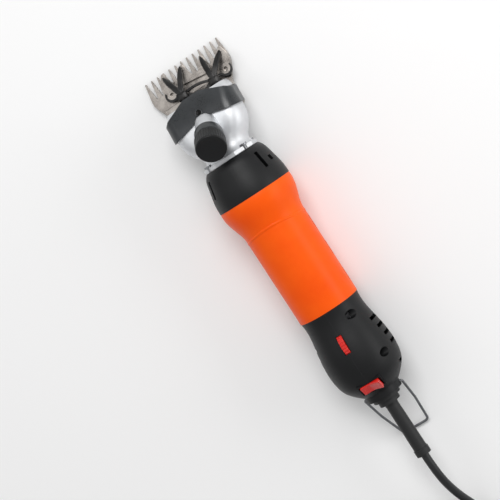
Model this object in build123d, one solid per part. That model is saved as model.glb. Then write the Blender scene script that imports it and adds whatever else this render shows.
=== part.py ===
from build123d import *
import os
from math import cos, pi, radians, sin, tan

os.makedirs("parts", exist_ok=True)

# Frame: +Y toward the comb tips, +X the shears' right side, +Z up, resting belly-down on z = 0.
# Origin: bottom centre of the shears without the cord.

# ---- driving dimensions (mm) ----
axis_z = 33.2  # motor axis above the table, the radius of the belly
tip_y = 189.4  # comb tips
seam_y = 65.6  # seam between the black collar and the orange housing
housing_rear_y = -45.4  # seam between the orange housing and the black tail
sleeve_end_y = -190.0
body_radius = 33.2
grip_radius = 27.3
wall = 2.3

comb_pitch = 6.0
comb_teeth = 13
comb_tilt = 11.0
comb_thickness = 3.0
tip_rise = 1.6

gear_module = 0.8
pinion_teeth = 10
crank_teeth = 22
crank_throw = 2.1
crank_z = axis_z - gear_module * (pinion_teeth + crank_teeth) / 2
post_y = 124.0
crank_pin_y = 108.0
roller_radius = 2.0
fork_swing = 7.5

knob_tilt = 30.0
knob_radius = 12.8
cord_diameter = 7.0


# ---- small helpers ----
def rod(radius, start, end):
    """Straight round bar between two points."""
    span = Vector(*end) - Vector(*start)
    middle = (Vector(*start) + Vector(*end)) * 0.5
    return Plane(origin=middle, z_dir=span) * Cylinder(radius, span.length)


def along_y(radius, front_y, rear_y, x=0.0, z=axis_z):
    """Round bar along Y, on the motor axis unless it says otherwise."""
    return rod(radius, (x, rear_y, z), (x, front_y, z))


def ring_y(outer, inner, front_y, rear_y, x=0.0, z=axis_z):
    return along_y(outer, front_y, rear_y, x, z) - along_y(inner, front_y + 1, rear_y - 1, x, z)


def smooth_turned(curve):
    """Solid turned about the motor axis with a smooth skin through the curve's (y, radius) points."""
    (front, front_radius), (rear, rear_radius) = curve[0], curve[-1]
    line = Polyline((rear, rear_radius), (rear, 0), (front, 0), (front, front_radius))
    face = Plane.YZ * make_face([Spline(*curve), line])
    return Pos(0, 0, axis_z) * revolve(face, Axis.Y)


def gear(teeth, thickness, bore, phase):
    """Spur gear with straight-sided teeth and backlash, along its own Z."""
    pitch_radius = gear_module * teeth / 2
    tip = pitch_radius + 0.85 * gear_module
    root = pitch_radius - 1.2 * gear_module
    half_root, half_pitch, half_tip = 0.31, 0.215, 0.11
    outline = []
    for tooth in range(teeth):
        centre = 2 * pi * (tooth + phase) / teeth
        step = 2 * pi / teeth
        for radius, share in (
            (root, -half_root), (pitch_radius, -half_pitch), (tip, -half_tip),
            (tip, half_tip), (pitch_radius, half_pitch), (root, half_root),
        ):
            outline.append((radius * cos(centre + share * step), radius * sin(centre + share * step)))
    return extrude(make_face(Polyline(*outline, close=True)), thickness) - Cylinder(bore, 4 * thickness)


def bearing(outer, inner, width, front_y, x=0.0, z=axis_z):
    """Ball bearing as two races joined by a recessed shield."""
    middle = (outer + inner) / 2
    body = ring_y(outer, inner, front_y, front_y - width, x, z)
    groove = ring_y(middle + 1.2, middle - 1.2, front_y, front_y - 0.5, x, z)
    return body - groove - Pos(0, 0.5 - width, 0) * groove


def save(name, shape):
    export_step(shape if isinstance(shape, (Solid, Compound, Part)) else Part() + shape, f"parts/{name}.step")
    print(f"{name:22s} {shape.volume:10.0f} mm3")


# ---- comb and cutter ----
comb_plane = Plane(origin=(0, tip_y, -tip_rise * cos(radians(comb_tilt))), x_dir=(1, 0, 0),
                   z_dir=(0, sin(radians(comb_tilt)), cos(radians(comb_tilt))))
comb_half = comb_pitch * (comb_teeth - 1) / 2
race_back = -26.0
heel_back = -61.0


def build_comb():
    heel = [(-30, heel_back + 4), (-26, heel_back), (-7, heel_back), (-4, heel_back + 6), (4, heel_back + 6),
            (7, heel_back), (26, heel_back), (30, heel_back + 4)]
    outline = heel + [(30, -38), (36, race_back), (38.6, -20), (38.3, -15.4), (-38.3, -15.4), (-38.6, -20),
                      (-36, race_back), (-30, -38)]
    plate = extrude(make_face(Polyline(*outline, close=True)), comb_thickness)
    teeth = Part()
    for index in range(comb_teeth):
        x = -comb_half + index * comb_pitch
        flare = 0.6 if index in (0, comb_teeth - 1) else 0.0
        tooth = make_face(Polyline((x - 2.1 - flare, -16.4), (x - 1.3, -6), (x - 0.5, 0), (x + 0.5, 0),
                                   (x + 1.3, -6), (x + 2.1 + flare, -16.4), close=True))
        teeth += extrude(tooth, comb_thickness)
    comb = plate + teeth
    bevel = Plane.YZ * make_face(Polyline((-19, 0), (1, 0), (1, tip_rise + 0.1), close=True))
    comb -= Pos(-50, 0, 0) * extrude(bevel, 100)
    for x in (-15.5, 15.5):
        slot = SlotOverall(11, 5.2, rotation=90)
        comb -= Pos(x, heel_back + 7.5, 0) * extrude(slot, 4 * comb_thickness, both=True)
    comb -= Pos(0, race_back - 3.2, comb_thickness) * Box(64, 2.2, 1.2)
    return comb_plane * comb


cutter_floor = comb_thickness + 0.05
cutter_thickness = 2.6
cutter_tip = -4.0


def build_cutter():
    back = -21.5
    points = []
    for centre, inner_gap in ((-27, -14.5), (-9, -15.5), (9, -14.5), (27, None)):
        points += [(centre - 5.2, -13.5), (centre - 0.8, cutter_tip), (centre + 0.8, cutter_tip),
                   (centre + 5.2, -13.5)]
        if inner_gap:
            points += [(centre + 7.6, inner_gap), (centre + 10.4, inner_gap)]
    points += [(32.4, -18.5), (29.5, back), (20, back), (16, -19.6), (-16, -19.6), (-20, back), (-29.5, back),
               (-32.4, -18.5)]
    cutter = extrude(make_face(Polyline(*points, close=True)), cutter_thickness)
    cutter = fillet(cutter.edges().filter_by(Axis.Z).sort_by(Axis.Y)[:4], 1.2)
    for x in (-25.5, 25.5):
        cutter += Pos(x, -23.5, 0) * extrude(Circle(5.0), cutter_thickness)
        cutter -= Pos(x, -23.5, 0) * Cylinder(1.9, 20)
    for x in (-27, -9, 9, 27):
        cutter -= Pos(x, -11.5, 0) * Cylinder(1.1, 0.9)
    return comb_plane * Pos(0, 0, cutter_floor) * cutter


# ---- fork ----
knob_dir = Vector(0, -sin(radians(knob_tilt)), cos(radians(knob_tilt)))
knob_base = Vector(0, seam_y + 61, axis_z + 19.5)
knob_plane = Plane(origin=knob_base, x_dir=(1, 0, 0), z_dir=knob_dir)
post_back = (post_y - tip_y) / cos(radians(comb_tilt))
fork_floor = 8.2
fork_height = 5.0
fork_top = fork_floor + fork_height
pin_radius = 2.5
pin_foot_height = fork_top + 1.4 + pin_radius
pin_drop = (comb_plane.to_local_coords(knob_base).Z - pin_foot_height) / knob_dir.dot(comb_plane.z_dir)
pad_y = comb_plane.to_local_coords(knob_base - knob_dir * pin_drop).Y
claw_x = 15.0
claw_y = -33.0


def build_fork():
    arch = Polyline((-5, post_back), (-6, -54), (-9, -44), (-18.4, -36), (-18.4, -29.5), (18.4, -29.5), (18.4, -36),
                    (9, -44), (6, -54), (5, post_back), close=True)
    fork = extrude(make_face(arch), fork_height)
    fork -= Pos(0, -26.5, 0) * extrude(make_face(Ellipse(9.5, 6.4)), fork_height)
    fork += Pos(0, post_back, fork_height / 2) * Cylinder(7.2, fork_height)
    fork = Pos(0, 0, fork_floor) * fork
    fork -= Pos(0, post_back, fork_floor) * Sphere(3.6)
    fork += Pos(0, pad_y, fork_top + 0.6) * Cylinder(5.0, 1.2)
    for x in (-claw_x, claw_x):
        fork -= Pos(x, claw_y, fork_top) * Cylinder(2.05, 8)
    return comb_plane * fork


slot_half = roller_radius + 2 * crank_throw + 0.9


def build_fork_tail():
    """Rear arm with an upright slot for the crank roller, wide enough for any crank angle."""
    arm = Pos(0, post_y - 8.4, crank_z + 1.2) * Box(8.5, 6, 6)
    link = Pos(0, post_y - 11.6, crank_z) * Box(2 * slot_half + 3.0, 3.2, 7)
    yoke = Pos(0, crank_pin_y + 0.3, crank_z) * Box(2 * slot_half + 3.0, 5.8, 8)
    slot = Pos(0, crank_pin_y - 2, crank_z) * Box(2 * slot_half, 9.6, 30)
    return arm + link + (yoke - slot)


def flat_bar(start, end, wide, thick, end_wide, end_thick):
    """Tapering flat bar between two points, its width kept level with the comb."""
    span = end - start
    root = Plane(origin=start, x_dir=span.cross(Vector(0, 0, 1)), z_dir=span)
    return loft([root * Rectangle(wide, thick), root.offset(span.length) * Rectangle(end_wide, end_thick)])


def build_claw(side):
    """Claw: a shank on the fork and two flat fingers, in a V, that press the cutter down."""
    x = side * claw_x
    claw = Pos(x, claw_y, fork_top + 1.6) * Box(9, 6.5, 3.2)
    claw += Pos(x, claw_y, fork_top - 1.9) * Cylinder(2.0, 3.8)
    floor = cutter_floor + cutter_thickness
    for root_x, foot_x, foot_y in ((x + 1.9 * side, 26.8 * side, -11.2), (x - 1.9 * side, 9.8 * side, -8.6)):
        root = Vector(root_x, claw_y + 1.4, fork_top + 1.75)
        foot = Vector(foot_x, foot_y, floor + 1.2)
        knee = root + (foot - root) * 0.68 + Vector(0, 0, 2.6)
        claw += flat_bar(root, knee, 4.4, 2.8, 3.8, 2.6)
        claw += Pos(*knee) * Sphere(1.75)
        claw += flat_bar(knee, foot + (foot - knee) * 0.12, 3.4, 2.6, 1.8, 2.2)
    flat = Pos(0, -20, floor + 0.02 - 10) * Box(120, 80, 20)
    return comb_plane * (claw - flat)


# ---- head ----


def rounded_section(y, width, top, bottom, corner):
    """Rounded rectangle in a plane across the axis, heights measured from the axis."""
    plane = Plane(origin=(0, y, axis_z + (top + bottom) / 2), x_dir=(1, 0, 0), z_dir=(0, 1, 0))
    return plane * RectangleRounded(width, top - bottom, corner)


def head_skin(inset, front_y=157.0):
    """Casting's outer shape, or its cavity when inset, as a loft along the axis."""
    stations = [(102.6, 44, 19, -21, 17), (110, 43, 14, -20.5, 15), (122, 58, 13, -20.5, 13),
                (134, 61.5, 12, -21.8, 12), (146, 61, 8, -24, 10), (front_y, 55, 1.5, -26.2, 8)]
    return loft([
        rounded_section(y, width - 2 * inset, top - inset, bottom + inset, corner - 0.6 * inset)
        for y, width, top, bottom, corner in stations
    ])


def below_seat(height):
    """Block below a plane parallel to the comb, from the heel forward."""
    return comb_plane * Pos(0, heel_back - 1 + 60, height - 50) * Box(140, 120, 100)


def build_gear_head():
    flange = Plane(origin=(0, 99.6, axis_z), x_dir=(1, 0, 0), z_dir=(0, 1, 0))
    head = head_skin(0) + knob_plane * Pos(0, 0, -7) * Cylinder(10.2, 14)
    head += flange * extrude(RegularPolygon(25.2, 8, rotation=22.5), 3.4)
    head -= head_skin(3.2) - along_y(30, 104.4, 98)
    head -= along_y(16, 104.5, 102, 0, crank_z + 3)
    head -= comb_plane * Pos(0, -40, fork_floor + 2.6) * Box(52, 56, 10.8)
    head -= below_seat(comb_thickness + 0.02)
    head -= Pos(0, crank_pin_y + 0.4, crank_z) * Box(24.6, 10.4, 9.6)
    head += ring_y(8.0, 5.52, 103.6, 96.6, 0, crank_z)
    head -= along_y(5.52, 103.7, 98.4, 0, crank_z) + along_y(4.4, 105, 90, 0, crank_z)
    head -= knob_plane * Pos(0, 0, -20) * Cylinder(4.1, 80)
    head -= comb_plane * Pos(0, post_back, 4.6) * Cylinder(3.05, 6)
    for x in (-15.5, 15.5):
        head -= comb_plane * Pos(x, heel_back + 7.5, comb_thickness + 1) * Cylinder(2.05, 9)
    for x, z in flange_corners:
        head -= along_y(1.65, 110, 90, x, z) + along_y(3.3, 112, 103.0, x, z)
    return head


flange_corners = [(side * 17.6, axis_z + up * 14.5) for side in (-1, 1) for up in (-1, 1)]


def build_head_cover():
    """Black hood over the front of the casting, with its oil hole."""
    hood = head_skin(-2.3, 160.5) - head_skin(-0.05, 160.6) - head_skin(-0.05)
    keep = extrude(Plane.XY * make_face(Polyline(
        (-34, 133.5), (-20, 136), (-6, 139.5), (6, 139.5), (20, 136), (34, 133.5), (34, 147), (28, 152),
        (8, 160.4), (-8, 160.4), (-28, 152), (-34, 147), close=True)), 60)
    hood = hood & keep
    hood -= below_seat(comb_thickness + 4.5) + knob_plane * Pos(0, 0, -7) * Cylinder(10.5, 24)
    hood -= Pos(0, 145, 0) * Cylinder(2.2, 200)
    hood -= Pos(0, 142.4, axis_z + 13) * Box(1.6, 5, 6)
    return hood & Pos(0, 150, axis_z) * Box(90, 60, 60)


# ---- tension gear ----
def build_knob():
    face_z = 25.2
    profile = Polyline((4.2, 1.2), (11.6, 1.2), (11.9, 2.0), (11.9, 9.4), (11.0, 9.8), (11.0, 10.8),
                       (knob_radius - 0.5, 11.2), (knob_radius, 12.4), (knob_radius, face_z - 1.5),
                       (knob_radius - 1.5, face_z), (0, face_z), (0, face_z - 3.2), (4.2, face_z - 3.2), close=True)
    knob = revolve(Plane.XZ * make_face(profile), Axis.Z)
    for index in range(36):
        knob -= Rot(0, 0, 10 * index) * Pos(knob_radius + 0.35, 0, 18.0) * Cylinder(0.6, 9)
    return knob_plane * knob


def build_tension_sleeve():
    sleeve = Pos(0, 0, 1) * (Cylinder(4.05, 26) - Cylinder(2.6, 40)) + Pos(0, 0, 0.5) * Cylinder(8, 0.8)
    return knob_plane * (sleeve - Cylinder(2.6, 60))


def build_tension_pin():
    """Pin down the knob's axis, with a round foot just over the fork's pad."""
    top = 19.0
    pin = Pos(0, 0, (top - pin_drop) / 2) * Cylinder(pin_radius, top + pin_drop)
    return knob_plane * (pin + Pos(0, 0, -pin_drop) * Sphere(pin_radius))


# ---- collar and motor housing ----
collar_curve = [(99.4, 24.6), (95.6, 27.6), (86.6, 30.2), (77.6, 32.2), (seam_y, body_radius)]
housing_curve = [(seam_y, 33.0), (54.6, 32.3), (47.6, 30.2), (40.6, 28.0), (33.6, grip_radius)]


def build_collar():
    body = smooth_turned(collar_curve)
    body -= along_y(21, 100, 95) + along_y(23.4, 96, 84.6) + along_y(28.5, 74.6, 70) + along_y(25.6, 71, 60)
    body += ring_y(27.9, 25.6, 68, 59.6) + ring_y(12.5, 9.52, 76.6, 70.0)
    body -= along_y(9.52, 76.6, 60) + along_y(5.52, 90, 80.1, 0, crank_z) + along_y(4.0, 90, 60)
    for side in (-1, 1):
        for angle, y, length, width, depth in ((53, 86, 15, 3.4, 6), (73, 83.5, 4.5, 4.5, 5), (110, 86, 15, 3.4, 6)):
            cut = Pos(0, y, axis_z) * Rot(0, side * angle, 0) * Pos(0, 0, 30) * Box(width, length, 2 * depth)
            body -= cut
    for x, z in flange_corners:
        body -= along_y(1.3, 100, 88, x, z)
    return body


def oval_cut(length, width, depth, y, angle, radius):
    """Rounded slot along Y cut into the body at an angle from the top."""
    slot = extrude(SlotOverall(length, width, rotation=90), depth, both=True)
    return Pos(0, y, axis_z) * Rot(0, angle, 0) * Pos(0, 0, radius) * slot


def build_motor_housing():
    body = smooth_turned(housing_curve) + along_y(grip_radius, 34.0, housing_rear_y)
    body -= along_y(27.95, 66, 52) + along_y(26.4, 53, 45) + along_y(25, 46, -60)
    body += ring_y(25.5, 8.02, -35.4, -41.4) - ring_y(21, 11, -34, -39)
    for x in (-14, 14):
        body -= along_y(3.5, -30, -50, x, axis_z + 12) + along_y(3.5, -30, -50, x, axis_z - 12)
    for side in (-1, 1):
        for y in (21, -4, -30):
            body -= oval_cut(14, 5, 4, y, side * 98, 26)
    return body


# ---- motor ----
def build_rotor_shaft():
    return along_y(3.0, 88.0, -43.0) + along_y(2.0, 96.4, 87) + along_y(4.6, 69.8, 62)


def build_pinion():
    wheel = gear(pinion_teeth, 7.4, 2.0, 0.0)
    return Plane(origin=(0, 88.6, axis_z), x_dir=(1, 0, 0), z_dir=(0, 1, 0)) * wheel


def build_crank_gear():
    wheel = gear(crank_teeth, 6.0, 2.5, 0.5)
    wheel -= Cylinder(6.8, 2.4) - Cylinder(4.2, 3)
    return Plane(origin=(0, 89.2, crank_z), x_dir=(1, 0, 0), z_dir=(0, 1, 0)) * wheel


def build_crankshaft():
    shaft = along_y(2.5, 104.0, 80.6, 0, crank_z)
    disc = along_y(4.5, 104.3, 103.7, 0, crank_z)
    pin = along_y(1.2, crank_pin_y + 1.7, 104.2, -crank_throw, crank_z)
    return shaft + disc + pin


def build_armature_core():
    core = ring_y(14.0, 3.0, 34.6, -9.4)
    for index in range(12):
        core -= Pos(0, 12.6, axis_z) * Rot(0, 30 * index, 0) * Pos(0, 0, 12.8) * Box(2.2, 60, 4.4)
    return core


def build_armature_winding():
    ends = ring_y(12.4, 5.0, 42.0, 34.7) + ring_y(12.4, 5.0, -9.5, -16.5)
    bars = Part()
    for index in range(12):
        bars += Pos(0, 12.6, axis_z) * Rot(0, 30 * index, 0) * Pos(0, 0, 12.0) * Box(1.9, 46, 2.4)
    return ends + bars


def build_commutator():
    body = ring_y(9.0, 3.0, -17.5, -33.5) + ring_y(10.4, 3.0, -17.0, -19.0)
    for index in range(24):
        body -= Pos(0, -26, axis_z) * Rot(0, 15 * index, 0) * Pos(0, 0, 9.0) * Box(0.5, 14, 1.4)
    return body


def build_fan():
    fan = ring_y(7.0, 3.0, 61.5, 47.5) + ring_y(23.0, 6.0, 49.0, 47.5)
    for index in range(11):
        blade = Pos(0, 0, 14.6) * Box(1.3, 10.5, 16.4)
        fan += Pos(0, 53.9, axis_z) * Rot(0, index * 360 / 11, 0) * blade
    return fan


def coil_window(inner, outer, front_y, rear_y):
    """Upper and lower arcs of a ring, where the field coils lie."""
    bands = Pos(0, 0, axis_z + 30) * Box(60, 300, 40) + Pos(0, 0, axis_z - 30) * Box(60, 300, 40)
    return ring_y(outer, inner, front_y, rear_y) & bands


def build_stator_core():
    return ring_y(24.8, 14.7, 33.6, -8.4) - coil_window(17.4, 22.0, 40, -20)


def build_field_coils():
    return coil_window(17.5, 21.9, 41.0, -15.0)


def paired(piece):
    """The same piece on both sides of the motor."""
    return piece + mirror(piece, Plane.YZ)


def build_brush_holders():
    tube = Pos(16.4, -26, axis_z) * (Box(12.4, 10.6, 8.6) - Box(14, 8.1, 6.4))
    cap = Pos(23.1, -26, axis_z) * Box(1.4, 10.6, 8.6)
    return paired(tube + cap)


def build_brushes():
    return paired(Pos(13.2, -26, axis_z) * Box(8.2, 8.0, 6.3))


def build_brush_springs():
    spring = Part()
    for index in range(4):
        spring += rod(2.4, (17.5 + 1.3 * index, -26, axis_z), (18.2 + 1.3 * index, -26, axis_z))
    spring += rod(1.6, (17.4, -26, axis_z), (22.3, -26, axis_z))
    return paired(spring)


# ---- tail ----
tail_curve = [(housing_rear_y, 27.0), (-64.4, 27.4), (-76.4, 29.6), (-88.4, 31.0), (-102.4, 30.6), (-112.4, 27.7),
              (-118.4, 23.2), (-124.4, 17.0)]
neck_radius = 16.2
neck_end_y = -130.4
dial_centre = (0, -76.4, axis_z + 18.4)
dial_radius = 13.0
screw_seats = [(y, axis_z + up * 20) for y in (-57.4, -97.4) for up in (-1, 1)]
bail_y = -127.4
switch_plane = Plane(origin=(0, -115.6, axis_z + 24.6), x_dir=(1, 0, 0), z_dir=(0, -sin(radians(40)), cos(radians(40))))


def build_tail_shell(side):
    """Half of the tail, split on the middle plane, with bosses, vents and a flat foot."""
    outer = smooth_turned(tail_curve) + along_y(neck_radius, -120, neck_end_y)
    foot = Pos(0, -88, 5) * extrude(Rectangle(26, 30), 5, both=True)
    foot = fillet(foot.edges().filter_by(Axis.Z), 4)
    inner_curve = [(y + (2.0 if y < -100 else 0), radius - wall) for y, radius in tail_curve]
    inner = smooth_turned(inner_curve) + along_y(22, -44, -50)
    inner += along_y(neck_radius - wall, -118, neck_end_y + 3)
    shell = outer + foot - inner - along_y(8.05, -120, -140)
    shell -= Pos(0, -88, 3.8 + 1.6) * Box(21.4, 25.4, 5)
    for y, z in screw_seats:
        boss = rod(4.6, (0, y, z), (30, y, z)) + rod(4.6, (-30, y, z), (0, y, z))
        shell += boss & outer
        shell -= rod(1.55, (-12, y, z), (14, y, z)) + rod(3.75, (13.2, y, z), (40, y, z))
    for flank in (-1, 1):
        for index in range(4):
            y = -70.4 - 8.0 * index
            vent = Pos(0, y, axis_z) * Rot(0, flank * (82 + 2 * index), 0) * Pos(0, 0, 30) * Box(15, 3.0, 9)
            shell -= vent
        shell -= Pos(0, -112, axis_z) * Rot(0, flank * 86, 0) * Pos(0, 0, 27) * Box(11, 2.6, 9)
        shell -= rod(1.25, (flank * 13, bail_y, axis_z), (flank * 20, bail_y, axis_z))
    shell -= rod(dial_radius + 0.6, (-2.8, *dial_centre[1:]), (2.8, *dial_centre[1:]))
    shell -= switch_plane * Box(22.1, 12.6, 34)
    half = Pos(side * 50, -90, 50) * Box(100, 120, 200)
    return shell & half


def build_tail_screws():
    screws = Part()
    for y, z in screw_seats:
        screw = rod(3.1, (13.25, y, z), (15.6, y, z)) + rod(1.5, (-11.5, y, z), (13.3, y, z))
        screw -= Pos(15.6, y, z) * Box(2.0, 1.0, 4.0) + Pos(15.6, y, z) * Box(2.0, 4.0, 1.0)
        screws += screw
    return screws


def build_speed_dial():
    x, y, z = dial_centre
    dial = rod(dial_radius, (-2.25, y, z), (2.25, y, z)) - rod(2.05, (-4, y, z), (4, y, z))
    for index in range(30):
        angle = radians(12 * index)
        dial -= rod(0.7, (-3, y + (dial_radius + 0.2) * cos(angle), z + (dial_radius + 0.2) * sin(angle)),
                    (3, y + (dial_radius + 0.2) * cos(angle), z + (dial_radius + 0.2) * sin(angle)))
    return dial


def build_control_board():
    x, y, z = dial_centre
    board = Pos(0, -82, axis_z - 1) * Box(30, 44, 1.6)
    board += Pos(6.4, y, (axis_z + z + 4.5) / 2) * Box(6.0, 12, z + 5.5 - axis_z)
    board += rod(2.0, (-2.9, y, z), (5, y, z))
    for part_x, part_y, width, length, height in ((-9, -68, 8, 7, 9), (-9, -92, 9, 12, 6), (8, -95, 7, 8, 5)):
        board += Pos(part_x, part_y, axis_z - 0.3 + height / 2) * Box(width, length, height + 0.2)
    return board


def build_capacitor():
    can = rod(7.0, (0, -62, axis_z - 13), (0, -86, axis_z - 13))
    return fillet(can.edges(), 1.0)


def build_switch_body():
    body = Pos(0, 0, -7.2) * Box(21.9, 12.4, 14.4)
    body -= Pos(0, 0, -2.9) * Box(19.8, 10.3, 6.2)
    return switch_plane * (body - rod(1.05, (0, -7, -1.5), (0, 7, -1.5)))


def build_switch_rocker():
    profile = Polyline((-9.0, 2.8), (0, 1.3), (9.0, 2.8), (8.6, -2.0), (0, -4.4), (-8.6, -2.0), close=True)
    rocker = extrude(Plane.XZ * make_face(profile), 4.9, both=True)
    rocker = Rot(0, -8, 0) * Pos(0, 0, 1.5) * rocker
    rocker = Pos(0, 0, -1.5) * rocker + rod(0.98, (0, -6.1, -1.5), (0, 6.1, -1.5))
    return switch_plane * rocker


def build_cable_clamp():
    """Block that grips the lead's core just inside the neck."""
    return Pos(0, -114, axis_z - 1) * Box(18, 6, 11) - along_y(2.7, -100, -120)


def build_grommet():
    ring = along_y(12.4, neck_end_y, neck_end_y - 3.4) + along_y(9.4, neck_end_y - 3, neck_end_y - 8)
    ring += along_y(8.0, neck_end_y + 4, neck_end_y)
    return ring - along_y(5.9, -110, -150)


def build_cord_sleeve():
    """Plain tapered strain relief with a flange inside the neck and a ring at its end."""
    sleeve = along_y(8.4, -122.6, -125.6) + along_y(5.8, -125, -141)
    sleeve += Plane(origin=(0, (sleeve_end_y - 140) / 2, axis_z), z_dir=(0, -1, 0)) * Cone(5.5, 6.0, -140 - sleeve_end_y)
    sleeve += along_y(6.6, -184.5, sleeve_end_y)
    return sleeve - along_y(2.6, -120, -150)


bail_drop = 34.0
bail_length = 55.0
bail_wire = 1.1


def build_bail():
    reach_y = -bail_length * cos(radians(bail_drop))
    reach_z = -bail_length * sin(radians(bail_drop))
    def at(x, share):
        return (x, bail_y + reach_y * share, axis_z + reach_z * share)
    route = [at(-14.2, 0), at(-18.0, 0), at(-16.5, 0.45), at(-12.0, 1.0), at(12.0, 1.0), at(16.5, 0.45),
             at(18.0, 0), at(14.2, 0)]
    path = FilletPolyline(*route, radius=[1.6, 6, 4, 4, 6, 1.6])
    return sweep(Plane(origin=route[0], z_dir=(-1, 0, 0)) * Circle(bail_wire), path)


# ---- cord, laid by hand from the sleeve to the coil and from the coil to the plug ----
cord_route = [(0, sleeve_end_y, axis_z), (0, -209, axis_z), (1.8, -232, 24), (7, -255, 9.5), (15.5, -278, 3.9),
              (26.6, -300, 3.5)]
coil_centre = (-20.0, -320.0)
coil_radius = 42.0
coil_columns = 3
coil_layers = 4
plug_length = 36.0
plug_pin_gap = 18.6
tail_route = [(22, -311.65, 24.5), (22, -328.35, 25.2), (15.6, -343.8, 28), (3.8, -355.6, 32), (-11.65, -362, 34.8),
              (-28.35, -362, 34.8)]


def tube(route):
    """Cord of straight runs and tangent arcs through a hand-laid route."""
    points = [Vector(*point) for point in route]
    radii = []
    for before, here, after in zip(points, points[1:], points[2:]):
        one, two = here - before, after - here
        turn = radians(one.get_angle(two))
        radii.append(0.45 * min(one.length, two.length) / tan(turn / 2))
    print("arc radii", [round(radius, 1) for radius in radii])
    path = FilletPolyline(*points, radius=radii)
    start = Plane(origin=points[0], z_dir=points[1] - points[0])
    body = sweep(start * Circle(cord_diameter / 2), path)
    straight = pi * (cord_diameter / 2) ** 2 * path.length
    print(f"tube length {path.length:.1f} volume {body.volume:.0f} against {straight:.0f}")
    return body


def coil_ring(inset):
    wide = coil_columns * cord_diameter - 2 * inset
    high = coil_layers * cord_diameter - 2 * inset
    section = Plane.XZ * (Pos(coil_radius, coil_layers * cord_diameter / 2) * RectangleRounded(wide, high, 3.2))
    return Pos(*coil_centre, 0) * revolve(section, Axis.Z)


def build_coil_tie():
    band = Pos(coil_centre[0], coil_centre[1] + coil_radius, 14) * Box(14, 40, 60)
    return (coil_ring(0) - coil_ring(1.3)) & band


def build_plug_body():
    """Moulded two-pin plug that lies on the coil, pins toward the shears' left."""
    rear = Plane(origin=tail_route[-1], x_dir=(0, 1, 0), z_dir=(-1, 0, 0))
    body = loft([rear * RectangleRounded(12, 10.5, 4.5), rear.offset(9) * RectangleRounded(16, 12, 5)])
    front = rear.offset(plug_length)
    return body + loft([rear.offset(9) * RectangleRounded(30, 13.4, 5.5), front * RectangleRounded(34, 13.6, 6)])


def build_plug_pins():
    x, y, z = tail_route[-1]
    front = x - plug_length
    pins = Part()
    for offset in (-plug_pin_gap / 2, plug_pin_gap / 2):
        pins += rod(2.4, (front, y + offset, z), (front - 19, y + offset, z))
    return pins


# ---- assembly ----
swing = Axis(comb_plane.from_local_coords(Vector(0, post_back, 0)), comb_plane.z_dir)


def swung(piece):
    """Fork pieces sit at the right-hand end of their stroke."""
    return piece.rotate(swing, -fork_swing)


def build_fulcrum_post():
    post = Pos(0, 0, fork_floor) * Sphere(3.5) + Pos(0, 0, 6.6) * Cylinder(2.6, 4) + Pos(0, 0, 5.9) * Cylinder(4.6, 1.4)
    post += Pos(0, 0, 4.4) * Cylinder(3.0, 3)
    return comb_plane * Pos(0, post_back, 0) * post


def build_comb_screws():
    screws = Part()
    for x in (-15.5, 15.5):
        screw = Pos(0, 0, -1.2) * Cylinder(4.4, 2.4) + Pos(0, 0, 2.6) * Cylinder(2.0, 7)
        screw -= Pos(0, 0, -2.4) * Box(12, 1.2, 1.8)
        screws += Pos(x, heel_back + 7.5, 0) * screw
    return comb_plane * screws


def build_flange_screws():
    screws = Part()
    for x, z in flange_corners:
        screws += along_y(3.0, 104.8, 103.05, x, z) + along_y(1.25, 103.2, 89, x, z)
    return screws


head = build_gear_head()
pieces = {
    "comb": build_comb(),
    "comb_screws": build_comb_screws(),
    "cutter": swung(build_cutter()),
    "fork": swung(build_fork() + build_fork_tail()),
    "fork_claw_left": swung(build_claw(-1)),
    "fork_claw_right": swung(build_claw(1)),
    "fulcrum_post": build_fulcrum_post(),
    "tension_pin": build_tension_pin(),
    "tension_sleeve": build_tension_sleeve(),
    "tension_knob": build_knob(),
    "gear_head": head,
    "head_cover": build_head_cover(),
    "flange_screws": build_flange_screws(),
    "crankshaft": build_crankshaft(),
    "crank_gear": build_crank_gear(),
    "crank_roller": ring_y(roller_radius, 1.25, crank_pin_y + 1.6, crank_pin_y - 2.3, -crank_throw, crank_z),
    "crank_bearing_front": bearing(5.5, 2.53, 4.0, 102.6, 0, crank_z),
    "crank_bearing_rear": bearing(5.5, 2.53, 4.0, 84.4, 0, crank_z),
    "collar": build_collar(),
    "rotor_shaft": build_rotor_shaft(),
    "pinion": build_pinion(),
    "armature_core": build_armature_core(),
    "armature_winding": build_armature_winding(),
    "commutator": build_commutator(),
    "fan": build_fan(),
    "front_bearing": bearing(9.5, 3.03, 6.0, 76.3),
    "rear_bearing": bearing(8.0, 3.03, 5.8, -35.5),
    "stator_core": build_stator_core(),
    "field_coils": build_field_coils(),
    "brush_holders": build_brush_holders(),
    "carbon_brushes": build_brushes(),
    "brush_springs": build_brush_springs(),
    "motor_housing": build_motor_housing(),
    "tail_shell_left": build_tail_shell(-1),
    "tail_shell_right": build_tail_shell(1),
    "tail_screws": build_tail_screws(),
    "switch_body": build_switch_body(),
    "switch_rocker": build_switch_rocker(),
    "speed_dial": build_speed_dial(),
    "speed_control_board": build_control_board(),
    "capacitor": build_capacitor(),
    "cable_clamp": build_cable_clamp(),
    "grommet": build_grommet(),
    "cord_sleeve": build_cord_sleeve(),
    "hanging_bail": build_bail(),
    "cord": tube(cord_route),
    "cord_tail": tube(tail_route),
    "coil_tie": build_coil_tie(),
    "plug_body": build_plug_body(),
    "plug_pins": build_plug_pins(),
}
pieces["cord_coil"] = coil_ring(0) - pieces["coil_tie"] - pieces["cord"] - pieces["cord_tail"]
for name, shape in pieces.items():
    save(name, shape)
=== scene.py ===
import bmesh
import bpy
import math
import numpy as np
from mathutils import Matrix, Vector


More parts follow.
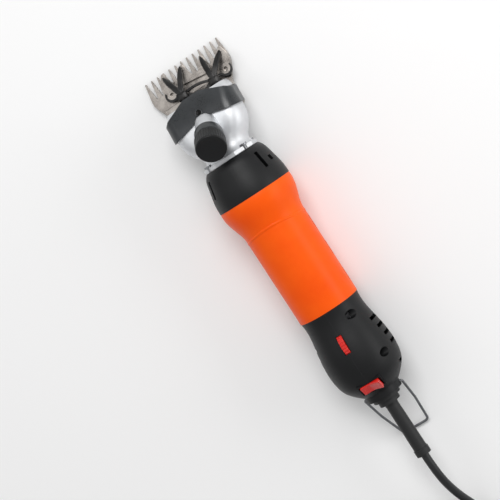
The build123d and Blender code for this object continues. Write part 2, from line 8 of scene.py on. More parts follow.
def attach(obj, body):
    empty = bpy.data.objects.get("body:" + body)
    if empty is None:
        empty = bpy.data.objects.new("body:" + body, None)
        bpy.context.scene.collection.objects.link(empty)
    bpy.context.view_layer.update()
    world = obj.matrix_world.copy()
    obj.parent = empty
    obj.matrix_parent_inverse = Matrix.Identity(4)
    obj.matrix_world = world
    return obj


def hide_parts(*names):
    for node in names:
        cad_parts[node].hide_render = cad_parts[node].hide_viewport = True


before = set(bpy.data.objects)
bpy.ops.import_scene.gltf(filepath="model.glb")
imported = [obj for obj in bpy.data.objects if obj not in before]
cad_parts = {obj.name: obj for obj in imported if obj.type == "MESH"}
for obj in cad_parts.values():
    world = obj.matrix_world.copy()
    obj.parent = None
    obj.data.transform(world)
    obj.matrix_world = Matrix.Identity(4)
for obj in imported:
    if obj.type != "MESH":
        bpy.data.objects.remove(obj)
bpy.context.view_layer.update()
print("frame loaded:", len(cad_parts), "CAD nodes")

mm = 0.001  # metres


def toLinear(hexColour):
    # sRGB hex to the linear numbers that shaders take
    value = hexColour.lstrip("#")
    channels = [int(value[i:i + 2], 16) / 255 for i in (0, 2, 4)]
    return [c / 12.92 if c <= 0.04045 else ((c + 0.055) / 1.055) ** 2.4 for c in channels] + [1.0]


def addNode(tree, kind, settings=None, links=None):
    # settings go to named properties or input sockets, links are (input, node, output)
    node = tree.nodes.new(kind)
    for name, value in (settings or {}).items():
        if hasattr(node, name):
            setattr(node, name, value)
        else:
            node.inputs[name].default_value = value
    for name, source, output in links or []:
        tree.links.new(source.outputs[output], node.inputs[name])
    return node


# camera: long lens from above the shears' right side, head towards the top left
cameraView = {
    "place": (0.31155, 0.09609, 1.30333),
    "target": (-0.02953, 0.02846, 0.0332),
    "imageUp": (0.55563, 0.83143, 0.0),
    "lensMm": 115.6,
}


def makeCamera(v):
    data = bpy.data.cameras.new("camera")
    data.lens = v["lensMm"]
    data.sensor_width = 36
    data.clip_start = 0.05
    camera = bpy.data.objects.new("camera", data)
    bpy.context.scene.collection.objects.link(camera)
    back = (Vector(v["place"]) - Vector(v["target"])).normalized()
    right = Vector(v["imageUp"]).cross(back).normalized()
    up = back.cross(right)
    turn = Matrix((right, up, back)).transposed().to_4x4()
    camera.matrix_world = Matrix.Translation(v["place"]) @ turn
    bpy.context.scene.camera = camera


makeCamera(cameraView)
print("camera set")


# lead: from the sleeve down to the table, a tied coil, and a tail to the plug
lead = {
    "diameter": 7.0,
    "fromSleeve": [(0, -190, 33.2), (0, -209, 33.2), (1.8, -232, 24), (7, -255, 9.5),
                   (15.5, -278, 3.9), (26.6, -300, 3.5)],
    "toPlug": [(22, -328.35, 25.2), (15.6, -343.8, 28), (3.8, -355.6, 32),
               (-11.65, -362, 34.8), (-28.35, -362, 34.8)],
    "coilCentre": (-20.0, -320.0),
    "middleRadius": 42.0,
    "columns": 3,
    "layers": 4,
    "turns": 10.0,
    "pointsPerTurn": 16,
    "splineShare": 0.9812,  # the spline's radius over its control points' radius, at 16 a turn
    "firstMove": 0.10,  # where in its turn the top layer's strand moves to its next place
    "moveShare": 0.125,  # how much of a turn each move takes
}


def coilSlots(p):
    # (radius, height, layer) of each turn: out to in on the bottom layer, in to out on the next
    radii = [p["middleRadius"] + p["diameter"] * (1 - c) for c in range(p["columns"])]
    slots = []
    for layer in range(p["layers"]):
        order = radii if layer % 2 == 0 else radii[::-1]
        slots += [(r, p["diameter"] * (layer + 0.5), layer) for r in order]
    return slots


def coilPoints(p):
    # clockwise turns; each moves to its next place at its own angle, clear of its neighbours
    slots = coilSlots(p)
    step = 1 / p["pointsPerTurn"]
    count = round(p["turns"] / step)
    swell = 1 / p["splineShare"]
    points = []
    for i in range(count):
        u = i * step
        k = int(u)
        here, after = slots[k], slots[min(k + 1, len(slots) - 1)]
        rises = after[2] != here[2]
        order = 2 * (p["layers"] - 1 - here[2]) - (1 if rises else 0)
        start = p["firstMove"] + p["moveShare"] * order
        share = min(max((u - k - start) / p["moveShare"], 0.0), 1.0)
        share = share * share * (3 - 2 * share)
        radius = here[0] + (after[0] - here[0]) * share
        height = here[1] + (after[1] - here[1]) * share
        angle = -2 * math.pi * u
        points.append((p["coilCentre"][0] + radius * swell * math.cos(angle),
                       p["coilCentre"][1] + radius * swell * math.sin(angle), height))
    return points


def makeLead(p):
    points = p["fromSleeve"] + coilPoints(p) + p["toPlug"]
    data = bpy.data.curves.new("lead", "CURVE")
    data.dimensions = "3D"
    data.bevel_depth = 1.0
    data.bevel_resolution = 6
    data.resolution_u = 6
    data.use_fill_caps = True
    spline = data.splines.new("NURBS")
    spline.points.add(len(points) - 1)
    for point, place in zip(spline.points, points):
        point.co = (place[0] * mm, place[1] * mm, place[2] * mm, 1)
        point.radius = p["diameter"] / 2 * mm
    spline.order_u = 3
    spline.use_endpoint_u = True
    piece = bpy.data.objects.new("lead", data)
    bpy.context.scene.collection.objects.link(piece)
    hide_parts("cord", "cord_tail", "cord_coil")
    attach(piece, "housing")
    return piece


leadPiece = makeLead(lead)
print("lead laid")


# values that all the materials share
wear = {
    "edgeMm": 0.35,  # radius that a sharp edge is rounded to
    "rubbedFrom": 0.985,  # cosine between rounded and flat normal where paler wear starts
    "rubbedFull": 0.85,
    "smudge": (-0.05, 0.07),  # change of roughness by handling, least and most
    "grainSpread": 0.08,  # change of roughness by the grain, each way
}


def makeMaterial(name, look):
    # colour clouds, paler rubbed edges, grain and smudges in the roughness, fine bump
    material = bpy.data.materials.new(name)
    material.use_nodes = True
    tree = material.node_tree
    tree.nodes.clear()
    output = addNode(tree, "ShaderNodeOutputMaterial")
    shader = addNode(tree, "ShaderNodeBsdfPrincipled", {
        "Metallic": look.get("metallic", 0.0),
        "IOR": 1.5,
    })
    if "specular" in look:
        shader.inputs["Specular IOR Level"].default_value = look["specular"]
    if "coat" in look:
        shader.inputs["Coat Weight"].default_value = look["coat"]
        shader.inputs["Coat Roughness"].default_value = 0.1
    tree.links.new(shader.outputs["BSDF"], output.inputs["Surface"])
    place = addNode(tree, "ShaderNodeTexCoord")
    mapping = addNode(tree, "ShaderNodeMapping", {"Scale": look.get("stretch", (1, 1, 1))},
                      [("Vector", place, "Object")])
    # broad tone changes, millimetres to centimetres across
    cloud = addNode(tree, "ShaderNodeTexNoise",
                    {"Scale": 1000 / look["cloudMm"], "Detail": 4.0, "Roughness": 0.6},
                    [("Vector", place, "Object")])
    tone = addNode(tree, "ShaderNodeValToRGB", {}, [("Fac", cloud, "Fac")])
    dark, light = tone.color_ramp.elements
    dark.position, dark.color = 0.3, toLinear(look["dark"])
    light.position, light.color = 0.75, toLinear(look["light"])
    # the grain that the making left, at its real size
    grain = addNode(tree, "ShaderNodeTexNoise",
                    {"Scale": 1000 / look["grainMm"], "Detail": 3.0, "Roughness": 0.55},
                    [("Vector", mapping, "Vector")])
    # every sharp edge is rounded by a fraction of a millimetre, and rubbed paler there
    rounded = addNode(tree, "ShaderNodeBevel",
                      {"samples": 4, "Radius": look.get("edgeMm", wear["edgeMm"]) * mm})
    geometry = addNode(tree, "ShaderNodeNewGeometry")
    turn = addNode(tree, "ShaderNodeVectorMath", {"operation": "DOT_PRODUCT"},
                   [(0, rounded, "Normal"), (1, geometry, "Normal")])
    rub = addNode(tree, "ShaderNodeMapRange",
                  {"From Min": wear["rubbedFrom"], "From Max": wear["rubbedFull"]},
                  [("Value", turn, "Value")])
    worn = addNode(tree, "ShaderNodeMath", {"operation": "MULTIPLY"},
                   [(0, rub, "Result"), (1, cloud, "Fac")])
    mixed = addNode(tree, "ShaderNodeMix", {"data_type": "RGBA"})
    tree.links.new(worn.outputs[0], mixed.inputs["Factor"])
    tree.links.new(tone.outputs["Color"], mixed.inputs[6])
    mixed.inputs[7].default_value = toLinear(look.get("edge", look["light"]))
    tree.links.new(mixed.outputs[2], shader.inputs["Base Color"])
    spread = look.get("roughSpread", wear["grainSpread"])
    rough = addNode(tree, "ShaderNodeMapRange", {
        "From Min": 0.3, "From Max": 0.7,
        "To Min": look["rough"] - spread, "To Max": look["rough"] + spread,
    }, [("Value", grain, "Fac")])
    # handling: broad smudges that are a little duller or shinier than the rest
    smudge = addNode(tree, "ShaderNodeMapRange", {
        "From Min": 0.3, "From Max": 0.7,
        "To Min": wear["smudge"][0], "To Max": wear["smudge"][1],
    }, [("Value", cloud, "Fac")])
    handled = addNode(tree, "ShaderNodeMath", {"operation": "ADD", "use_clamp": True},
                      [(0, rough, "Result"), (1, smudge, "Result")])
    tree.links.new(handled.outputs[0], shader.inputs["Roughness"])
    bump = addNode(tree, "ShaderNodeBump",
                   {"Strength": look["bump"], "Distance": look["bumpMm"] * mm},
                   [("Height", grain, "Fac"), ("Normal", rounded, "Normal")])
    tree.links.new(bump.outputs["Normal"], shader.inputs["Normal"])
    return material


# finishes, each as its maker would order it; Mm values are the real size of what they draw
looks = {
    # injection-moulded ABS, satin spark-eroded tool finish: even orange with soft wide highlights
    "mouldedOrangeAbs": {"dark": "#ED4E04", "light": "#FA6207", "cloudMm": 60, "grainMm": 0.45,
                         "rough": 0.38, "roughSpread": 0.06, "specular": 0.15, "bump": 0.2,
                         "bumpMm": 0.04, "edge": "#FF8C48"},
    # glass-filled polyamide, finely textured: charcoal black with a grey sheen
    "texturedBlackPolyamide": {"dark": "#090A0B", "light": "#111214", "cloudMm": 35,
                               "grainMm": 0.4, "rough": 0.46, "specular": 0.3, "bump": 0.45,
                               "bumpMm": 0.06, "edge": "#2C2E30"},
    # smooth black moulded polyamide of the head hood, a little glossier than the grip; its
    # grey-black, paler than the grip's black, is painted light falling on the hood, the knob skirt
    # and the oil hole's rim
    "smoothBlackWithPaintedLight": {"dark": "#26282A", "light": "#313437", "cloudMm": 25, "grainMm": 0.8,
                             "rough": 0.33, "bump": 0.14, "bumpMm": 0.04, "edge": "#4A4D50"},
    # painted die-cast aluminium, bead blasted: silver grey with soft reflections and a fine grain
    "blastedCastAluminium": {"dark": "#D2D4D7", "light": "#E4E5E7", "cloudMm": 18, "grainMm": 0.4,
                             "rough": 0.5, "metallic": 0.85, "bump": 0.35, "bumpMm": 0.05,
                             "edge": "#FFFFFF", "edgeMm": 0.5},
    # ground and lapped tool steel of comb and cutter: fine lines along the teeth
    "groundToolSteel": {"dark": "#8C8681", "light": "#B4AEA8", "cloudMm": 9, "grainMm": 0.25,
                        "stretch": (1, 0.06, 1), "rough": 0.3, "roughSpread": 0.1, "metallic": 1.0,
                        "bump": 0.3, "bumpMm": 0.03, "edge": "#EDE9E4", "edgeMm": 0.25},
    # forged steel, oil blackened: dark grey with a brown-grey sheen
    "blackenedForgedSteel": {"dark": "#242425", "light": "#3A3938", "cloudMm": 8, "grainMm": 0.4,
                             "rough": 0.38, "metallic": 0.7, "bump": 0.4, "bumpMm": 0.06,
                             "edge": "#8C8A8A"},
    # turned and hardened steel: pins, shafts, bearings
    "turnedSteel": {"dark": "#85868A", "light": "#A9ABAE", "cloudMm": 10, "grainMm": 0.2,
                    "stretch": (0.1, 1, 1), "rough": 0.3, "metallic": 1.0, "bump": 0.15,
                    "bumpMm": 0.02},
    # black-oxide screws, deep in their recesses
    "blackOxideSteel": {"dark": "#141415", "light": "#232326", "cloudMm": 4, "grainMm": 0.2,
                        "rough": 0.4, "metallic": 0.6, "bump": 0.15, "bumpMm": 0.02,
                        "edge": "#6A6B6E"},
    # drawn steel wire, zinc plated: dull mid grey
    "platedWire": {"dark": "#6A6B6E", "light": "#8A8C8F", "cloudMm": 10, "grainMm": 0.3,
                   "rough": 0.35, "metallic": 1.0, "bump": 0.1, "bumpMm": 0.02},
    # turned brass
    "turnedBrass": {"dark": "#A8853F", "light": "#C9A557", "cloudMm": 12, "grainMm": 0.3,
                    "rough": 0.32, "metallic": 1.0, "bump": 0.1, "bumpMm": 0.02},
    # stack of varnished electrical steel sheets, half a millimetre each, seen edge on
    "laminatedSteel": {"dark": "#3A3C40", "light": "#4E5156", "cloudMm": 15, "grainMm": 0.5,
                       "stretch": (0.05, 1, 0.05), "rough": 0.45, "metallic": 0.8, "bump": 0.6,
                       "bumpMm": 0.08},
    # enamelled copper wire, half a millimetre thick
    "enamelledCopper": {"dark": "#8E4526", "light": "#B8653A", "cloudMm": 8, "grainMm": 0.6,
                        "stretch": (1, 0.1, 1), "rough": 0.3, "metallic": 0.9, "bump": 0.6,
                        "bumpMm": 0.1},
    # pressed graphite
    "pressedGraphite": {"dark": "#141414", "light": "#1F1F20", "cloudMm": 5, "grainMm": 0.3,
                        "rough": 0.55, "bump": 0.3, "bumpMm": 0.04},
    # red polycarbonate of rocker and dial: bright, glossy, rubbed paler on its edges
    "glossRedPolycarbonate": {"dark": "#C4120C", "light": "#E02418", "cloudMm": 9, "grainMm": 0.9,
                              "rough": 0.24, "bump": 0.1, "bumpMm": 0.03, "edge": "#FF6E5C",
                              "coat": 0.4},
    # glass-epoxy circuit board, green varnish
    "greenCircuitBoard": {"dark": "#0F4A28", "light": "#186638", "cloudMm": 6, "grainMm": 1.2,
                          "rough": 0.35, "bump": 0.3, "bumpMm": 0.1},
    # soft black rubber of grommet and sleeve: matt with a faint bloom
    "softBlackRubber": {"dark": "#0D0E0F", "light": "#161718", "cloudMm": 14, "grainMm": 0.4,
                        "rough": 0.55, "bump": 0.4, "bumpMm": 0.05, "edge": "#2C2E30"},
    # extruded PVC lead and moulded plug
    "extrudedBlackPvc": {"dark": "#131415", "light": "#1C1D1F", "cloudMm": 40, "grainMm": 0.7,
                         "rough": 0.42, "bump": 0.2, "bumpMm": 0.04},
    # nickel-plated brass plug pins
    "nickelPlate": {"dark": "#A9A498", "light": "#C4C0B5", "cloudMm": 10, "grainMm": 0.2,
                    "rough": 0.2, "metallic": 1.0, "bump": 0.08, "bumpMm": 0.02},
    # woven nylon hook-and-loop tie, threads about half a millimetre apart
    "wovenNylon": {"dark": "#121314", "light": "#26282A", "cloudMm": 2, "grainMm": 0.5,
                   "rough": 0.7, "bump": 0.8, "bumpMm": 0.2},
    # old oil in the oil hole, black
    "blackGrease": {"dark": "#030303", "light": "#0A0908", "specular": 0.15, "cloudMm": 3,
                    "grainMm": 0.6, "rough": 0.3, "bump": 0.7, "bumpMm": 0.1},
}
materials = {name: makeMaterial(name, look) for name, look in looks.items()}
print("materials made:", len(materials))

finishes = {
    "mouldedOrangeAbs": ["motor_housing"],
    "texturedBlackPolyamide": ["collar", "tail_shell_left", "tail_shell_right", "fan",
                               "switch_body", "cable_clamp", "capacitor", "tension_knob"],
    # the hood's paler black is painted light
    "smoothBlackWithPaintedLight": ["head_cover"],
    "blastedCastAluminium": ["gear_head"],
    "groundToolSteel": ["comb", "cutter"],
    "blackenedForgedSteel": ["fork", "fork_claw_left", "fork_claw_right"],
    "turnedSteel": ["comb_screws", "fulcrum_post", "tension_pin", "flange_screws", "crankshaft",
                    "crank_gear", "crank_roller", "crank_bearing_front", "crank_bearing_rear",
                    "rotor_shaft", "pinion", "front_bearing", "rear_bearing", "brush_springs"],
    "blackOxideSteel": ["tail_screws"],
    "platedWire": ["hanging_bail"],
    "turnedBrass": ["tension_sleeve", "brush_holders"],
    "laminatedSteel": ["armature_core", "stator_core"],
    "enamelledCopper": ["armature_winding", "field_coils", "commutator"],
    "pressedGraphite": ["carbon_brushes"],
    "glossRedPolycarbonate": ["switch_rocker", "speed_dial"],
    "greenCircuitBoard": ["speed_control_board"],
    "softBlackRubber": ["grommet", "cord_sleeve"],
    "extrudedBlackPvc": ["plug_body"],
    "nickelPlate": ["plug_pins"],
    "wovenNylon": ["coil_tie"],
}


def finish(piece, name):
    piece.data.materials.clear()
    piece.data.materials.append(materials[name])


for name, nodes in finishes.items():
    for node in nodes:
        finish(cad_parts[node], name)
finish(leadPiece, "extrudedBlackPvc")
print("CAD nodes finished")


sharpAngle = math.radians(35)  # edges that turn more than this stay crisp


# new pieces: each is one or more grids of points, one row per step along it
def surfacePiece(name, grids, finishName, body, closed=(False, True), replaced=()):
    # grids: rows x columns x 3, in mm; a closed direction joins its last line to its first,
    # and a tube whose rows stay open gets a face at each end
    places, faces, first = [], [], 0
    for points in grids:
        rows, columns = points.shape[:2]
        index = first + np.arange(rows * columns).reshape(rows, columns)
        rowSteps = rows if closed[0] else rows - 1
        columnSteps = columns if closed[1] else columns - 1
        r, c = np.meshgrid(np.arange(rowSteps), np.arange(columnSteps), indexing="ij")
        after, beside = (r + 1) % rows, (c + 1) % columns
        quads = np.stack([index[r, c], index[after, c], index[after, beside], index[r, beside]],
                         axis=-1)
        faces += quads.reshape(-1, 4).tolist()
        if closed == (False, True):
            faces += [index[0].tolist(), index[-1][::-1].tolist()]
        places.append(points.reshape(-1, 3))
        first += rows * columns
    mesh = bpy.data.meshes.new(name)
    mesh.from_pydata((np.concatenate(places) * mm).tolist(), [], faces)
    outward = bmesh.new()
    outward.from_mesh(mesh)
    bmesh.ops.recalc_face_normals(outward, faces=outward.faces)
    outward.to_mesh(mesh)
    outward.free()
    mesh.polygons.foreach_set("use_smooth", [True] * len(mesh.polygons))
    mesh.set_sharp_from_angle(angle=sharpAngle)
    mesh.update()
    piece = bpy.data.objects.new(name, mesh)
    bpy.context.scene.collection.objects.link(piece)
    finish(piece, finishName)
    if replaced:
        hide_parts(*replaced)
    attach(piece, body)


def squared(wave, power):
    # a sine or cosine flattened towards a square wave, for sections with rounded corners
    return np.sign(wave) * np.abs(wave) ** power


def roundAngles(steps):
    return np.linspace(0, 2 * np.pi, steps, endpoint=False)


axisHeight = 33.2  # of the grip's own axis, over the table

# moulded crease where the flare meets the grip
gripCrease = {
    "sideY": 32.6,
    "bow": 4.6,
    "halfWidth": 1.1,
    "height": 0.32,
    "flare": ((30.0, 27.3), (34.0, 27.31), (38.0, 27.62), (41.0, 28.1)),  # y and radius of the grip
    "sunk": (0.04, 0.6),  # depth of the top's foot and of the underside in the grip
    "steps": (240, 9),
}


def makeCrease(p):
    # y = sideY + bow cos^2(angle) + halfWidth v, v from -1 to 1 across the crease
    # radius = flare(y) + height (1 - v^2), less the sunk depth; then a flat underside
    around, across = p["steps"]
    foot, under = p["sunk"]
    angle = roundAngles(around)[:, None]
    v = np.concatenate([np.linspace(-1, 1, across), (1, -1)])[None, :]
    sunk = np.concatenate([np.full(across, foot), (under, under)])[None, :]
    y = p["sideY"] + p["bow"] * np.cos(angle) ** 2 + p["halfWidth"] * v
    flareY, flareRadius = zip(*p["flare"])
    radius = np.interp(y, flareY, flareRadius) + p["height"] * (1 - v ** 2) - sunk
    points = np.stack([radius * np.sin(angle), y, axisHeight + radius * np.cos(angle)], axis=-1)
    surfacePiece("grip_crease", [points], "mouldedOrangeAbs", "housing",
                 (True, True))


makeCrease(gripCrease)
print("crease made")


# the comb's own plane: x across, y forward from the tips, z up through the cutter
combFrame = {
    "tipY": 189.4,
    "tipZ": -1.571,
    "tilt": math.radians(11),
    "postY": -66.62,
    "swing": math.radians(-7.5),
}


def fromFork(points, p=combFrame):
    # fork pieces rest at one end of their stroke: turned about the post, then tilted as the comb
    x, y, z = points[..., 0], points[..., 1] - p["postY"], points[..., 2]
    cosSwing, sinSwing = math.cos(p["swing"]), math.sin(p["swing"])
    x, y = x * cosSwing - y * sinSwing, x * sinSwing + y * cosSwing + p["postY"]
    cosTilt, sinTilt = math.cos(p["tilt"]), math.sin(p["tilt"])
    return np.stack([x, p["tipY"] + y * cosTilt + z * sinTilt,
                     p["tipZ"] - y * sinTilt + z * cosTilt], axis=-1)


# section of a forged bar, half its width and half its thickness each being 1
barSection = ((1, 0.5), (1, -0.5), (0.72, -1), (-0.72, -1),
              (-1, -0.5), (-1, 0.5), (-0.72, 1), (0.72, 1))


def barGrid(path, widths, thicknesses):
    # a flat bar: an eight-sided chamfered section carried along the path, its width kept level
    along = np.gradient(path, axis=0)
    along /= np.linalg.norm(along, axis=1, keepdims=True)
    side = np.cross(along, (0, 0, 1))
    side /= np.linalg.norm(side, axis=1, keepdims=True)
    up = np.cross(side, along)
    shape = np.array(barSection) / 2
    across = shape[None, :, :1] * side[:, None, :] * widths[:, None, None]
    upward = shape[None, :, 1:] * up[:, None, :] * thicknesses[:, None, None]
    return path[:, None, :] + across + upward


def bend(start, middle, end, steps):
    # quadratic Bezier curve through three control points
    t = np.linspace(0, 1, steps)[:, None]
    start, middle, end = (np.array(place, float) for place in (start, middle, end))
    return (1 - t) ** 2 * start + 2 * t * (1 - t) * middle + t ** 2 * end


# forged claws, one V each side; places in the comb's plane
forkClaws = {
    "rootX": 15.0,
    "rootY": -28.6,
    "rootZ": 15.0,
    "feet": ((26.9, -7.9), (9.6, -5.4)),
    "footZ": 6.9,
    "middleZ": 14.6,
    "widths": ((0, 4.9), (0.7, 4.5), (0.9, 3.2), (1, 1.5)),  # share of the length, then mm
    "thicknesses": ((0, 3.0), (0.7, 2.8), (1, 1.9)),
    "steps": 25,
    "padSize": (10.0, 7.6, 3.6),
    "padBack": 1.6,
    "padBelow": 1.7,
    "padCorner": 0.4,
    "padSteps": (9, 32),
}


def makeClaw(p, side):
    # each finger: a bar along a Bezier curve, its width and thickness read along its length
    grids = []
    share = np.linspace(0, 1, p["steps"])
    widths = np.interp(share, *zip(*p["widths"]))
    thicknesses = np.interp(share, *zip(*p["thicknesses"]))
    for footX, footY in p["feet"]:
        start = (p["rootX"] * side, p["rootY"], p["rootZ"])
        end = (footX * side, footY, p["footZ"])
        middle = ((start[0] + end[0]) / 2, (start[1] + end[1]) / 2, p["middleZ"])
        grids.append(barGrid(bend(start, middle, end, p["steps"]), widths, thicknesses))
    # pad under the fingers: a block with sides cos^corner and sin^corner, its top pulled in by
    # 0.4 + 0.6 sqrt(1 - level^6)
    levels, around = p["padSteps"]
    angle = roundAngles(around)[None, :]
    level = np.linspace(0, 1, levels)[:, None]
    width, length, height = p["padSize"]
    pull = (1 - level ** 6) ** 0.5 * 0.6 + 0.4
    x = p["rootX"] * side + width / 2 * squared(np.cos(angle), p["padCorner"]) * pull
    y = p["rootY"] - p["padBack"] + length / 2 * squared(np.sin(angle), p["padCorner"]) * pull
    z = p["rootZ"] - p["padBelow"] + height * level + 0 * angle
    grids.append(np.stack([x, y, z], axis=-1)[:, ::-1])
    name = "left" if side < 0 else "right"
    surfacePiece("forged_claw_" + name, [fromFork(g) for g in grids], "blackenedForgedSteel",
                 "fork_assembly", replaced=("fork_claw_" + name,))


for side in (-1, 1):
    makeClaw(forkClaws, side)
print("claws made")

# dark arch along the cutter's rear edge, painted shadow: it stands for the shadow in the gap behind
# that edge and for the edge's own dark side, running round each ear of the cutter, up to the claws
# and across between them
gapShadeArch = {
    "ear": (25.5, -23.5),
    "earRadius": 5.3,
    "earZ": 6.5,
    "earArc": (30, -155),  # degrees
    "earSteps": 20,
    "rise": ((18.8, -26.6, 8.6), (16.6, -28.0, 11.6), (13.0, -28.6, 12.9),
             (8.0, -27.2, 13.3), (4.0, -26.5, 13.5), (0.0, -26.3, 13.5)),
    "width": 2.3,
    "height": 2.1,
    "endWidth": 1.2,
    "steps": 160,
    "smoothings": 12,
    "taperSteps": 30,
}


def makeGapShadeArch(p):
    # half the line, round the ear from its front to its inside and up to the middle, then the
    # same mirrored; each smoothing puts a point halfway to the mean of its neighbours
    steps = p["steps"]
    angle = np.radians(np.linspace(*p["earArc"], p["earSteps"]))
    ear = np.stack([p["ear"][0] + p["earRadius"] * np.cos(angle),
                    p["ear"][1] + p["earRadius"] * np.sin(angle),
                    np.full(len(angle), p["earZ"])], axis=1)
    half = np.concatenate([ear, np.array(p["rise"])])
    whole = np.concatenate([half, half[-2::-1] * (-1, 1, 1)])
    share = np.linspace(0, len(whole) - 1, steps)
    path = np.stack([np.interp(share, np.arange(len(whole)), whole[:, axis])
                     for axis in range(3)], axis=1)
    for _ in range(p["smoothings"]):
        path[1:-1] = (path[:-2] + 2 * path[1:-1] + path[2:]) / 4
    toEnd = np.minimum(np.arange(steps), np.arange(steps)[::-1]) / p["taperSteps"]
    widths = p["endWidth"] + (p["width"] - p["endWidth"]) * np.clip(toEnd, 0, 1)
    bar = barGrid(path, widths, np.full(steps, p["height"]))
    # painted shadow behind the cutter, drawn as a bar in the fork's blackened steel
    surfacePiece("gap_shade_arch", [fromFork(bar)], "blackenedForgedSteel", "fork_assembly")


makeGapShadeArch(gapShadeArch)
print("arch made")


def turnedGrid(profile, centre, axis, steps):
    # (radius, height) profile turned about an axis through the centre; closed across, open along
    axis = Vector(axis).normalized()
    side = axis.orthogonal().normalized()
    other = axis.cross(side)
    angle = roundAngles(steps)[None, :, None]
    radius, height = (np.array(column, float)[:, None, None] for column in zip(*profile))
    circle = np.cos(angle) * np.array(side) + np.sin(angle) * np.array(other)
    return np.array(centre, float) + radius * circle + height * np.array(axis)


# tension knob: a plain skirt, a groove and a larger cap with fine grip flutes and a dished face
knob = {
    "centre": (0.0, 126.6, 52.7),
    "axis": (0.0, -0.5, 0.866),
    "skirt": ((4.3, 1.3), (11.3, 1.3), (11.7, 1.5), (11.88, 2.1), (11.88, 9.0), (11.75, 9.5),
              (11.3, 9.75), (11.0, 9.9), (11.0, 11.0), (4.3, 11.0)),
    "cap": ((0.05, 22.0), (4.3, 22.0), (4.3, 11.3), (11.9, 11.3), (12.4, 11.6), (12.7, 12.2),
            (12.78, 13.0), (12.78, 14.0), (12.78, 18.0), (12.78, 22.0), (12.78, 23.0),
            (12.72, 23.9), (12.4, 24.7), (11.8, 25.1), (11.2, 25.15), (10.7, 25.0),
            (10.3, 24.8), (6.0, 24.72), (0.05, 24.7)),
    "skirtSteps": 96,
    "flutes": 36,
    "stepsPerFlute": 8,
    "fluteDepth": 0.32,
    "fluteHeights": (13.0, 23.4),
    "fluteLeastRadius": 12,
}


def makeKnob(p):
    # the skirt takes the paler smooth black; its extra lightness over the cap's black is painted
    # light
    surfacePiece("knob_skirt", [turnedGrid(p["skirt"], p["centre"], p["axis"], p["skirtSteps"])],
                 "smoothBlackWithPaintedLight", "tension_nut", (True, True))
    cap = turnedGrid(p["cap"], p["centre"], p["axis"], p["flutes"] * p["stepsPerFlute"])
    # flutes: the radius drops by depth times a narrow cosine pulse, between the two heights
    angle = roundAngles(cap.shape[1])[None, :]
    radii, heights = np.hsplit(np.array(p["cap"]), 2)
    low, high = p["fluteHeights"]
    inside = (heights > low) & (heights < high) & (radii > p["fluteLeastRadius"])
    drop = p["fluteDepth"] * (0.5 + 0.5 * np.cos(p["flutes"] * angle)) ** 3 * inside
    axisLine = np.array(p["centre"]) + heights[:, :, None] * np.array(p["axis"])
    outward = cap - axisLine
    cap = cap - outward / np.linalg.norm(outward, axis=-1, keepdims=True) * drop[:, :, None]
    surfacePiece("knob_cap", [cap], "texturedBlackPolyamide", "tension_nut",
                 replaced=("tension_knob",))


makeKnob(knob)
print("knob made")

# rocker: a saddle with rounded edges, its right end pressed up
rockerCap = {
    "centre": (0.0, -115.6, 57.8),
    "lean": math.radians(40),
    "press": math.radians(8),
    "halfLength": 9.0,
    "halfWidth": 4.85,
    "saddle": 1.55,
    "saddlePower": 1.4,
    "top": 1.25,
    "bottom": -4.1,
    "bottomRise": 2.6,
    "bottomPower": 1.6,
    "dish": 0.22,
    "corner": 0.22,
    "endShare": 0.55,  # of the section that is left at the ends
    "endPower": 24,
    "steps": (41, 48),
}


def makeRocker(p):
    # top = top + saddle |x|^1.4 and bottom = bottom + rise |x|^1.6, x from -1 to 1 along it;
    # section: a squared-off oval, drawn in at the ends and dished across its upper side
    lengthSteps, around = p["steps"]
    x = np.linspace(-1, 1, lengthSteps)[:, None]
    angle = roundAngles(around)[None, :]
    drawnIn = np.sqrt(np.clip(1 - np.abs(x) ** p["endPower"], 0, 1))
    drawn = p["endShare"] + (1 - p["endShare"]) * drawnIn
    top = p["top"] + p["saddle"] * np.abs(x) ** p["saddlePower"]
    bottom = p["bottom"] + p["bottomRise"] * np.abs(x) ** p["bottomPower"]
    across = p["halfWidth"] * squared(np.cos(angle), p["corner"]) * drawn
    dish = -p["dish"] * (1 - (across / p["halfWidth"]) ** 2) * (np.sin(angle) > 0)
    halfHeight = (top - bottom) / 2 * squared(np.sin(angle), p["corner"]) * drawn
    height = (top + bottom) / 2 + halfHeight + dish
    along = p["halfLength"] * x + 0 * angle
    tilted = along * math.cos(p["press"]) - height * math.sin(p["press"])
    height = along * math.sin(p["press"]) + height * math.cos(p["press"])
    y = p["centre"][1] + across * math.cos(p["lean"]) - height * math.sin(p["lean"])
    z = p["centre"][2] + across * math.sin(p["lean"]) + height * math.cos(p["lean"])
    points = np.stack([tilted, y, z], axis=-1)
    surfacePiece("rocker_cap", [points], "glossRedPolycarbonate", "rocker",
                 replaced=("switch_rocker",))


makeRocker(rockerCap)
print("rocker made")


# raised oil hole in the hood, its well black with oil
oilHole = {
    "centre": (0.0, 144.7, 44.35),
    "axis": (0.0, 0.316, 0.949),
    "rim": ((3.5, -0.6), (3.45, 0.1), (3.2, 0.5), (2.8, 0.62), (2.45, 0.45), (2.35, 0.1),
            (2.35, -0.1)),
    "well": ((2.6, 0.0), (2.5, 0.3), (2.0, 0.22), (1.0, 0.1), (0.05, 0.08)),
    "steps": 48,
}


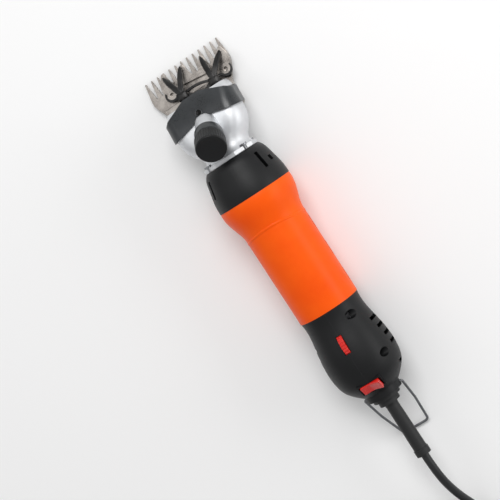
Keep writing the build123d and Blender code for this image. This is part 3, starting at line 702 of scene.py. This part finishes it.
def makeOilHole(p):
    # the rim takes the hood's smooth black, paler by painted light
    for part, look in (("rim", "smoothBlackWithPaintedLight"), ("well", "blackGrease")):
        turned = turnedGrid(p[part], p["centre"], p["axis"], p["steps"])
        surfacePiece("oil_hole_" + part, [turned], look, "housing")


makeOilHole(oilHole)
print("oil hole made")


# floor and light
studio = {
    "floorSize": 12.0,  # metres, as the rest of the studio
    "floorHeight": -0.0001,  # a hair below the feet, so that no two faces share a plane
    "floorColour": "#F4F4F4",
    "floorRoughness": 0.9,
    "lightTarget": (0, 0, 0.03),
    "lights": {  # place, size, watts
        "keyLight": ((0.5, 1.0, 1.6), (1.1, 0.8), 20.0),
        "sideLight": ((1.15, -0.15, 0.5), (0.9, 0.5), 4.5),
        "fillLight": ((-1.2, 0.9, 1.5), (1.2, 1.2), 4.0),
    },
    "worldStrength": 0.46,
}


def makeLight(name, place, size, watts, target):
    data = bpy.data.lights.new(name, "AREA")
    data.shape = "RECTANGLE"
    data.size, data.size_y = size
    data.energy = watts
    light = bpy.data.objects.new(name, data)
    light.location = place
    light.rotation_euler = (Vector(target) - Vector(place)).to_track_quat("-Z", "Y").to_euler()
    bpy.context.scene.collection.objects.link(light)


def makeStudio(s):
    half = s["floorSize"] / 2
    mesh = bpy.data.meshes.new("floor")
    corners = [(x * half, y * half, s["floorHeight"])
               for x, y in ((-1, -1), (1, -1), (1, 1), (-1, 1))]
    mesh.from_pydata(corners, [], [(0, 1, 2, 3)])
    floor = bpy.data.objects.new("floor", mesh)
    bpy.context.scene.collection.objects.link(floor)
    paper = bpy.data.materials.new("whitePaper")
    paper.use_nodes = True
    shader = paper.node_tree.nodes["Principled BSDF"]
    shader.inputs["Base Color"].default_value = toLinear(s["floorColour"])
    shader.inputs["Roughness"].default_value = s["floorRoughness"]
    mesh.materials.append(paper)
    for name, (place, size, watts) in s["lights"].items():
        makeLight(name, place, size, watts, s["lightTarget"])
    world = bpy.data.worlds.new("studio")
    bpy.context.scene.world = world
    world.use_nodes = True
    background = world.node_tree.nodes["Background"]
    background.inputs["Color"].default_value = (1, 1, 1, 1)
    background.inputs["Strength"].default_value = s["worldStrength"]


makeStudio(studio)
bpy.context.scene.view_settings.view_transform = "Standard"
print("studio lit")
